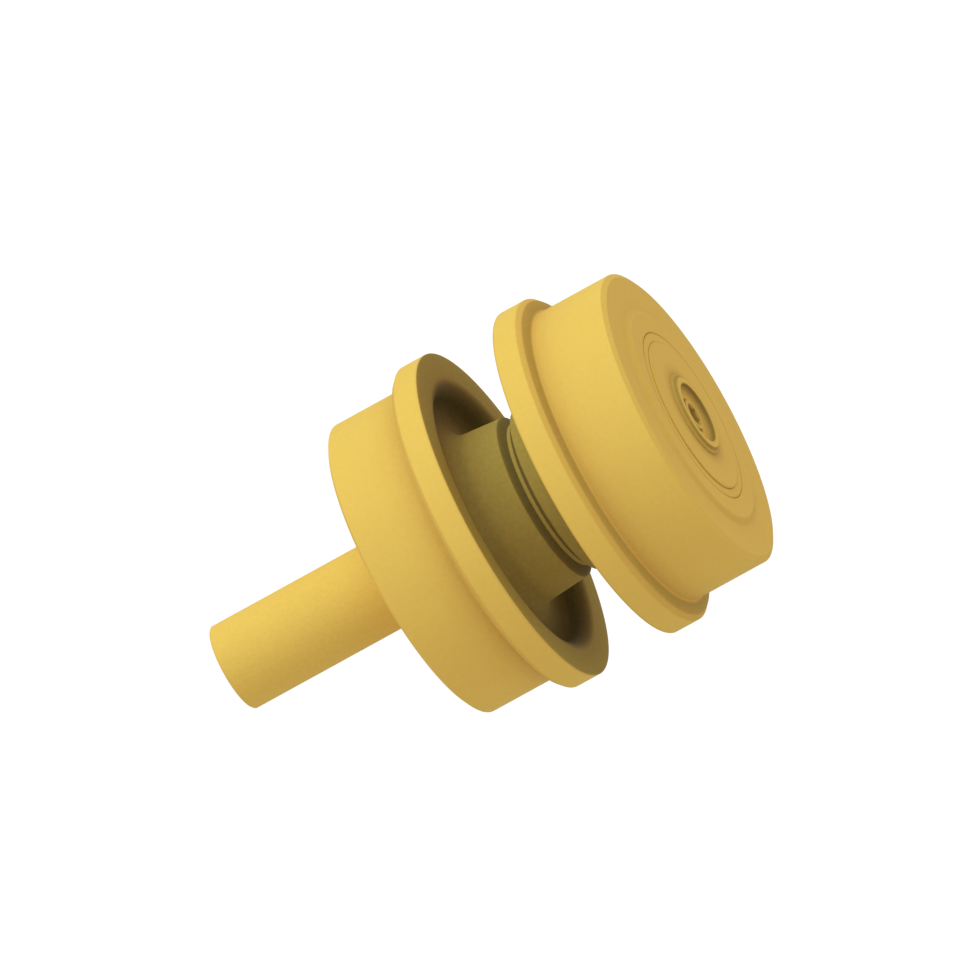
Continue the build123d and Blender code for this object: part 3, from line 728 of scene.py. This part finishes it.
def mixed(tree, first, second, share=1.0, blend="MIX"):
    """The first colour with a share of the second mixed in."""
    inputs = {"Factor": share, "A": first, "B": second}
    return add(tree, "ShaderNodeMix", inputs, data_type="RGBA", blend_type=blend).outputs["Result"]


def product(tree, first, second):
    """Two colours multiplied."""
    return mixed(tree, first, second, blend="MULTIPLY")


def raise_surface(tree, shader, height, strength, distance):
    """Bump from a height of 0 to 1, which stands for the distance in metres."""
    inputs = {"Strength": strength, "Distance": distance, "Height": height}
    bump = add(tree, "ShaderNodeBump", inputs)
    tree.links.new(bump.outputs["Normal"], shader.inputs["Normal"])


PAINT = (0.84, 0.495, 0.099, 1)
THIN_PAINT = (0.74, 0.44, 0.08, 1)
THIN_SHARE = 0.5              # share of the thin paint's colour where an edge is worn
HOLLOW_MOTTLE = 0.22          # what a full enclosure adds to the amount of the grain
CLOUD = {"Scale": 28.0, "Amount": 0.02}


def painted(name, grain_scale, grain_height, grain_amount):
    """Satin yellow paint on steel, with its orange peel, painted shade in the recesses and thin
    edges.
    """
    material, tree, shader = new_material(name, Roughness=0.62, Specular_IOR_Level=0.03)
    enclosed = add(tree, "ShaderNodeAttribute", attribute_name="enclosure").outputs["Fac"]
    edge = add(tree, "ShaderNodeAttribute", attribute_name="edge").outputs["Fac"]
    mottle = maths(tree, "MULTIPLY_ADD", enclosed, HOLLOW_MOTTLE, grain_amount)
    grain = effect(tree, GRAIN, {"Scale": grain_scale, "Amount": mottle})
    cloud = effect(tree, GRAIN, CLOUD)
    wear = effect(tree, EDGE_WEAR, {"Edge": edge})["Mask"]
    # painted shade in the recesses, darker the more enclosed a place is
    painted_shade = effect(tree, PAINTED_SHADE, {"Enclosure": enclosed})["Tone"]
    film = mixed(tree, PAINT, THIN_PAINT, maths(tree, "MULTIPLY", wear, THIN_SHARE))
    tone = maths(tree, "MULTIPLY", grain["Tone"], cloud["Tone"])
    colour = product(tree, product(tree, film, painted_shade), tone)
    tree.links.new(colour, shader.inputs["Base Color"])
    raise_surface(tree, shader, grain["Height"], strength=1.0, distance=grain_height)
    return material


def bare_metal(name, colour, roughness, rings, grain=(900.0, 0.08)):
    """Machined or ground metal: rings from the tool, an even grain, and roughness from both.

    rings and grain each hold a scale and an amount.
    """
    material, tree, shader = new_material(name, Metallic=1.0)
    marks = effect(tree, TOOL_MARKS, {"Scale": rings[0], "Amount": rings[1]})
    fine = effect(tree, GRAIN, {"Scale": grain[0], "Amount": grain[1]})
    tone = maths(tree, "MULTIPLY", marks["Tone"], fine["Tone"])
    tree.links.new(product(tree, (*colour, 1), tone), shader.inputs["Base Color"])
    tree.links.new(maths(tree, "MULTIPLY", tone, roughness), shader.inputs["Roughness"])
    raise_surface(tree, shader, marks["Height"], strength=0.4, distance=0.00001)
    return material


BLOOM_SHARE = 0.35            # share of the bloom where its patches are thickest


def moulded_rubber(name, colour, bloom):
    """Black rubber with a faint grey bloom in patches."""
    material, tree, shader = new_material(name, Roughness=0.6)
    grain = effect(tree, GRAIN, {"Scale": 120.0, "Amount": 0.5})
    share = maths(tree, "MULTIPLY", grain["Height"], BLOOM_SHARE)
    tree.links.new(mixed(tree, (*colour, 1), (*bloom, 1), share), shader.inputs["Base Color"])
    raise_surface(tree, shader, grain["Height"], strength=0.3, distance=0.00003)
    return material


# Paint: scale, height in metres and amount of the grain.
forged_paint = painted("yellow_on_forging", 330.0, 0.00004, 0.05)
machined_paint = painted("yellow_on_machined", 420.0, 0.00002, 0.04)
weld_paint = painted("yellow_on_weld", 700.0, 0.00003, 0.05)
shaft_paint = painted("yellow_on_shaft", 420.0, 0.00002, 0.09)
# Metal: colour, roughness, the tool's rings and, where it isn't the usual one, the grain.
ground_steel = bare_metal("ground_steel", (0.58, 0.59, 0.60), 0.20, (3000.0, 0.12))
polished_steel = bare_metal("polished_rollers", (0.66, 0.67, 0.68), 0.14, (5000.0, 0.05))
pressed_steel = bare_metal(
    "pressed_cage_steel", (0.34, 0.34, 0.33), 0.42, (600.0, 0.05), (300.0, 0.2))
turned_steel = bare_metal("turned_steel", (0.42, 0.42, 0.43), 0.34, (1200.0, 0.25))
blackened_steel = bare_metal(
    "blackened_bolts", (0.06, 0.06, 0.065), 0.38, (900.0, 0.1), (400.0, 0.2))
shim_steel = bare_metal(
    "rolled_shim_steel", (0.52, 0.51, 0.48), 0.30, (200.0, 0.03), (80.0, 0.15))
lapped_iron = bare_metal(
    "lapped_seal_iron", (0.33, 0.33, 0.34), 0.26, (2200.0, 0.10), (700.0, 0.2))
seal_rubber = moulded_rubber("seal_rubber", (0.016, 0.016, 0.017), (0.06, 0.06, 0.06))
washer_copper = bare_metal(
    "soft_washer", (0.72, 0.42, 0.24), 0.32, (1000.0, 0.1), (200.0, 0.15))

NODE_FINISH = {
    "shaft": shaft_paint,
    "seal_collar": machined_paint,
    "collar_dowel": ground_steel,
    "fixed_seal_ring": lapped_iron,
    "turning_seal_ring": lapped_iron,
    "fixed_toric_ring": seal_rubber,
    "turning_toric_ring": seal_rubber,
    "cover_o_ring": seal_rubber,
    "shaft_side_cone": ground_steel,
    "cover_side_cone": ground_steel,
    "shaft_side_cup": ground_steel,
    "cover_side_cup": ground_steel,
    "shaft_side_rollers": polished_steel,
    "cover_side_rollers": polished_steel,
    "shaft_side_cage": pressed_steel,
    "cover_side_cage": pressed_steel,
    "preload_shims": shim_steel,
    "end_plate": turned_steel,
    "lock_plate": pressed_steel,
    "end_plate_bolts": blackened_steel,
    "plug_washer": washer_copper,
}


# ------------------------------------------------------------------ the roller
def make_roller():
    """The painted pieces, each with its places' enclosure worked out among all the others."""
    cover_half, seal_half = cover_end_section(), seal_end_section()
    weld, cover, ring, plug = weld_section(), cover_section(), ring_section(), plug_section()
    seal_half = mirrored(seal_half[0]), seal_half[1]
    pieces = [part[0] for part in (cover_half, seal_half, weld, cover, ring, plug)]
    nodes = [plain_section(shaft_low, shaft_high), plain_section(collar_low, collar_high)]
    solid = chart_of(pieces + nodes)
    # each piece with its offsets to the painted shade
    for name, node, (points, nearness), material, shade_offsets in (
        ("shell_half_cover_end", "shell_cover_side", cover_half, forged_paint, LIP_SHADE_OFFSETS),
        ("shell_half_shaft_end", "shell_shaft_side", seal_half, forged_paint, ()),
        ("cover_plate", "end_cover", cover, machined_paint, COVER_SHADE_OFFSETS),
        ("cover_ring", "retaining_ring", ring, machined_paint, RING_SHADE_OFFSETS),
    ):
        finish_piece(lathe(name, points, nearness, solid, shade_offsets), node, material)
    make_weld(*weld, solid, weld_paint)
    make_plug(*plug, solid, machined_paint)


make_roller()
for node, material in NODE_FINISH.items():
    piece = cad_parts[node]
    piece.data.materials.clear()
    piece.data.materials.append(material)


# ------------------------------------------------------------------ camera, lights, floor
AXIS_RISE = math.radians(28.8)    # the roller's axis in the view, above the horizontal
AXIS_TILT = math.radians(14.5)    # the cover end's lean towards the camera
CAMERA_HEIGHT = math.radians(20)  # the camera looks down by this much
VIEW_WIDTH = 0.6528
MIDDLE_RIGHT, MIDDLE_UP = 0.0481, -0.0090   # the shell's middle in the view, from its centre
CAMERA_DISTANCE = 1.5


def camera_axes():
    """The row's axes as the camera sees them: (right, up, towards the camera) of X, Y and Z."""
    flat = math.cos(AXIS_TILT)
    rise = np.array([math.cos(AXIS_RISE), math.sin(AXIS_RISE), 0])
    across = np.array([-math.sin(AXIS_RISE), math.cos(AXIS_RISE), 0])
    y_axis = flat * rise + np.array([0, 0, math.sin(AXIS_TILT)])
    toward = math.sin(CAMERA_HEIGHT)
    along = -toward * math.sin(AXIS_TILT) / flat
    z_axis = along * rise + math.sqrt(1 - toward**2 - along**2) * across + np.array([0, 0, toward])
    return np.stack([np.cross(y_axis, z_axis), y_axis, z_axis], axis=1)


def make_camera():
    """Parallel-view camera, rolled so that the roller's axis climbs to the right."""
    turn = camera_axes().T
    data = bpy.data.cameras.new("camera")
    data.type = "ORTHO"
    data.ortho_scale = VIEW_WIDTH
    camera = bpy.data.objects.new("camera", data)
    bpy.context.scene.collection.objects.link(camera)
    place = np.array([0, MIDDLE, 0]) - turn @ np.array([MIDDLE_RIGHT, MIDDLE_UP, -CAMERA_DISTANCE])
    matrix = Matrix(turn.tolist()).to_4x4()
    matrix.translation = Vector(place)
    camera.matrix_world = matrix
    bpy.context.scene.camera = camera


WORLD_COLOUR, WORLD_STRENGTH = (1, 1, 1, 1), 0.66
KEY_COLOUR, KEY_STRENGTH = (0.66, 1.0, 1.0), 0.57 * math.pi
KEY_WIDTH = math.radians(60)
KEY_ABOVE = math.radians(60)      # from the camera's side, round the axis, towards the top
KEY_ALONG = -0.03                 # lean towards the cover's end; below 0, towards the shaft's end


def key_direction():
    """Towards the key lamp: between the camera's side and the top, nearly square to the axis."""
    axes = camera_axes()
    y_axis = axes[:, 1]
    near = np.array([0, 0, 1]) - y_axis[2] * y_axis
    near /= np.linalg.norm(near)
    over = np.cross(near, y_axis)
    over *= np.sign(over[1])
    seen = math.cos(KEY_ABOVE) * near + math.sin(KEY_ABOVE) * over + KEY_ALONG * y_axis
    return Vector(axes.T @ seen)


def make_lights():
    """Even white surroundings and one broad lamp."""
    world = bpy.data.worlds.new("studio")
    world.use_nodes = True
    background = world.node_tree.nodes["Background"]
    background.inputs["Color"].default_value = WORLD_COLOUR
    background.inputs["Strength"].default_value = WORLD_STRENGTH
    bpy.context.scene.world = world
    lamp = bpy.data.lights.new("key", "SUN")
    lamp.energy = KEY_STRENGTH
    lamp.color = KEY_COLOUR
    lamp.angle = KEY_WIDTH
    key = bpy.data.objects.new("key", lamp)
    bpy.context.scene.collection.objects.link(key)
    key.rotation_euler = key_direction().to_track_quat("Z", "Y").to_euler()


FLOOR_DROP, FLOOR_REACH = 0.6, 8.0
FLOOR_LIT = (0.62, 0.59, 0.59, 1)      # what the roller gets back from the floor
FLOOR_SEEN = (1.0, 0.87, 0.87, 1)      # what the camera sees, white under the cyan key


def make_floor():
    """Pale floor well below the roller, which its shaft holds in the air."""
    mesh = bpy.data.meshes.new("floor")
    reach, level = FLOOR_REACH, cad_box[0][2] - FLOOR_DROP
    square = (-reach, -reach), (reach, -reach), (reach, reach), (-reach, reach)
    mesh.from_pydata([(x, y, level) for x, y in square], [], [(0, 1, 2, 3)])
    floor = bpy.data.objects.new("floor", mesh)
    bpy.context.scene.collection.objects.link(floor)
    material = bpy.data.materials.new("floor")
    material.use_nodes = True
    tree = material.node_tree
    tree.nodes.clear()
    dull = add(tree, "ShaderNodeBsdfDiffuse", {"Color": FLOOR_LIT}).outputs[0]
    bright = add(tree, "ShaderNodeBsdfDiffuse", {"Color": FLOOR_SEEN}).outputs[0]
    seen = add(tree, "ShaderNodeLightPath").outputs["Is Camera Ray"]
    mix = add(tree, "ShaderNodeMixShader", {"Fac": seen, 1: dull, 2: bright})
    add(tree, "ShaderNodeOutputMaterial", {"Surface": mix.outputs[0]})
    mesh.materials.append(material)


make_camera()
make_lights()
make_floor()
bpy.context.scene.view_settings.view_transform = "Standard"
